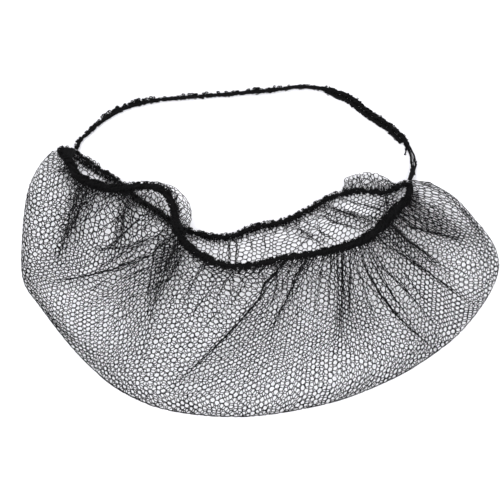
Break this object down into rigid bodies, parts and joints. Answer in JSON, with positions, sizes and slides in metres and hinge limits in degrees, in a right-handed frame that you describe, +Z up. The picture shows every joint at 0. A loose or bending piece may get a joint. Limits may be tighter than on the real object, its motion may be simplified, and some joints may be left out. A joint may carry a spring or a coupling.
{
  "type": "beard cover",
  "caption": "Beard cover lying flat: a pouch of black nylon honeycomb net gathered on an elastic mouth ring, with one elastic head strap.",
  "frame": {"origin": "on the surface that the pouch lies on, under the middle of the pouch and its mouth elastic", "axes": "+Z up from the surface, +Y from the pouch's outer fold towards the mouth and the head strap, +X along the mouth from its left corner to its right one"},
  "size_m": [0.3339, 0.238, 0.0273],
  "materials": {
    "net": "matt knitted nylon yarn",
    "elastic": "matt covered elastic yarn"
  },
  "bodies": {
    "root": {"net_pouch": "net", "mouth_elastic": "elastic", "head_strap": "elastic", "strap_lap": "elastic"}
  },
  "joints": []
}
